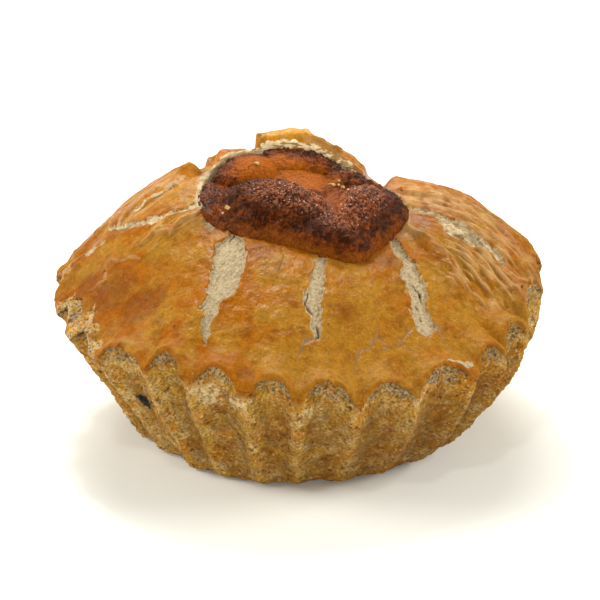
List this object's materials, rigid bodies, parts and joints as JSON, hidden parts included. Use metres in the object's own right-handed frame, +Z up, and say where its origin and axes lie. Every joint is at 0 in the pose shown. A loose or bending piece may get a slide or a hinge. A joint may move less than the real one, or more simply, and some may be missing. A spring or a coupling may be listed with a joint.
{
  "type": "curd tart",
  "caption": "Closed sweet tart: deep fluted pastry case, glazed pastry lid split open at the top by a cross cut, browned curd filling swelling out of the opening.",
  "frame": {"origin": "centre of the flat base, on the surface the tart stands on", "axes": "+Z up through the opening in the lid; -Y towards the side that the picture looks at; +X to that side's right"},
  "size_m": [0.09, 0.0896, 0.0482],
  "materials": {
    "pastry_case": "dry baked shortcrust pastry, mottled tan and brown, matt",
    "glazed_lid": "egg-glazed golden pastry, softly shiny, with pale rough dough in the splits",
    "baked_curd": "dark browned curd skin, finely wrinkled, with small glints; orange-brown in the hollows"
  },
  "bodies": {
    "root": {"case": "pastry_case", "lid": "glazed_lid", "filling": "baked_curd"}
  },
  "joints": []
}
